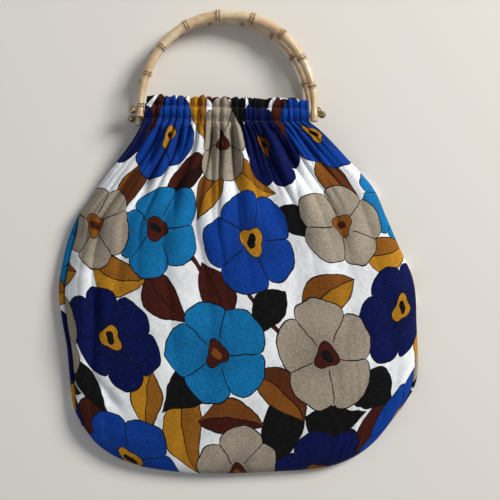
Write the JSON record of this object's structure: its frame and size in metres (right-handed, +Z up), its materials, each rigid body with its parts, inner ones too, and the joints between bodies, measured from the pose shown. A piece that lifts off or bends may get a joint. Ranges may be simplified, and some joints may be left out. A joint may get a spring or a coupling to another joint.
{
  "type": "gathered cloth handbag with bamboo handles",
  "caption": "Soft cloth handbag lying flat: a wide gathered pouch hung on thin metal rods between arched bamboo handles, with side slits by the mouth.",
  "frame": {"origin": "on the surface the bag lies on, under the middle of the whole bag", "axes": "+X across the bag to the right as it is seen, +Y from the bottom seam towards the handles, +Z up from the surface"},
  "size_m": [0.3554, 0.4576, 0.0317],
  "materials": {
    "printed_cotton": "matt plain weave, boldly printed in blues, browns and white",
    "bamboo": "smooth lacquered cane with darker rings",
    "aged_brass": "aged, dull"
  },
  "bodies": {
    "bag": {"front_panel": "printed_cotton", "back_panel": "printed_cotton", "front_rod": "aged_brass", "front_ball_left": "aged_brass", "front_ball_right": "aged_brass", "back_rod": "aged_brass", "back_ball_left": "aged_brass", "back_ball_right": "aged_brass"},
    "front_handle": {"front_handle": "bamboo"},
    "back_handle": {"back_handle": "bamboo"}
  },
  "joints": [
    {"name": "front_handle_swing", "type": "hinge", "parent": "bag", "child": "front_handle", "pos_m": [-0.01118, 0.12805, 0.023], "axis": [0.9997, -0.0262, 0], "range_deg": [0, 150]},
    {"name": "back_handle_swing", "type": "hinge", "parent": "bag", "child": "back_handle", "pos_m": [-0.01408, 0.12805, 0.007], "axis": [0.999, 0.0436, 0], "range_deg": [-150, 0]}
  ]
}
